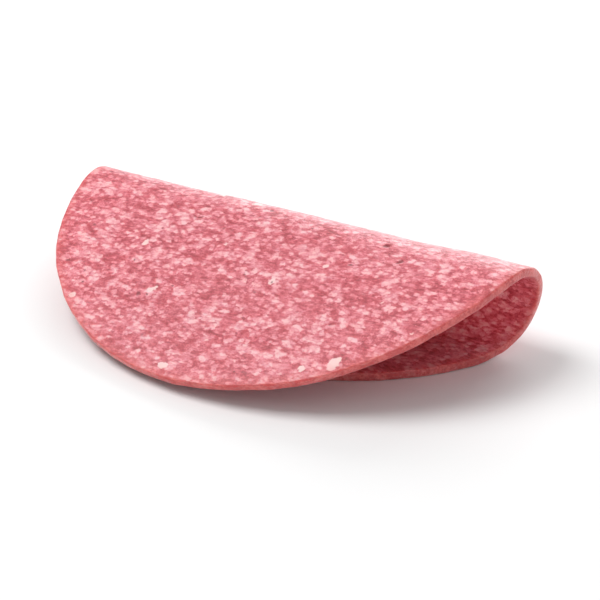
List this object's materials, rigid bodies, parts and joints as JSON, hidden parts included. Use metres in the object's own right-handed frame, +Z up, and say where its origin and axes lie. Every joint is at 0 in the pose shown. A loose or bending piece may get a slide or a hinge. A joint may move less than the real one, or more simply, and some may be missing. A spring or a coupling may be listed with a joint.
{
  "type": "cured sausage slice",
  "caption": "Thin round slice of fine-grained cured sausage, folded loosely in half so that its flaps enclose an open wedge.",
  "frame": {"origin": "middle of the footprint's bounding box, on the surface that the slice lies on", "axes": "+X along the fold towards its wider open end, +Y from the free edges towards the back of the fold, +Z up"},
  "size_m": [0.1004, 0.0532, 0.0208],
  "materials": {
    "cured_meat": "satin, slightly oily, pale fat grains in rose-red lean"
  },
  "bodies": {
    "root": {"slice": "cured_meat"}
  },
  "joints": []
}
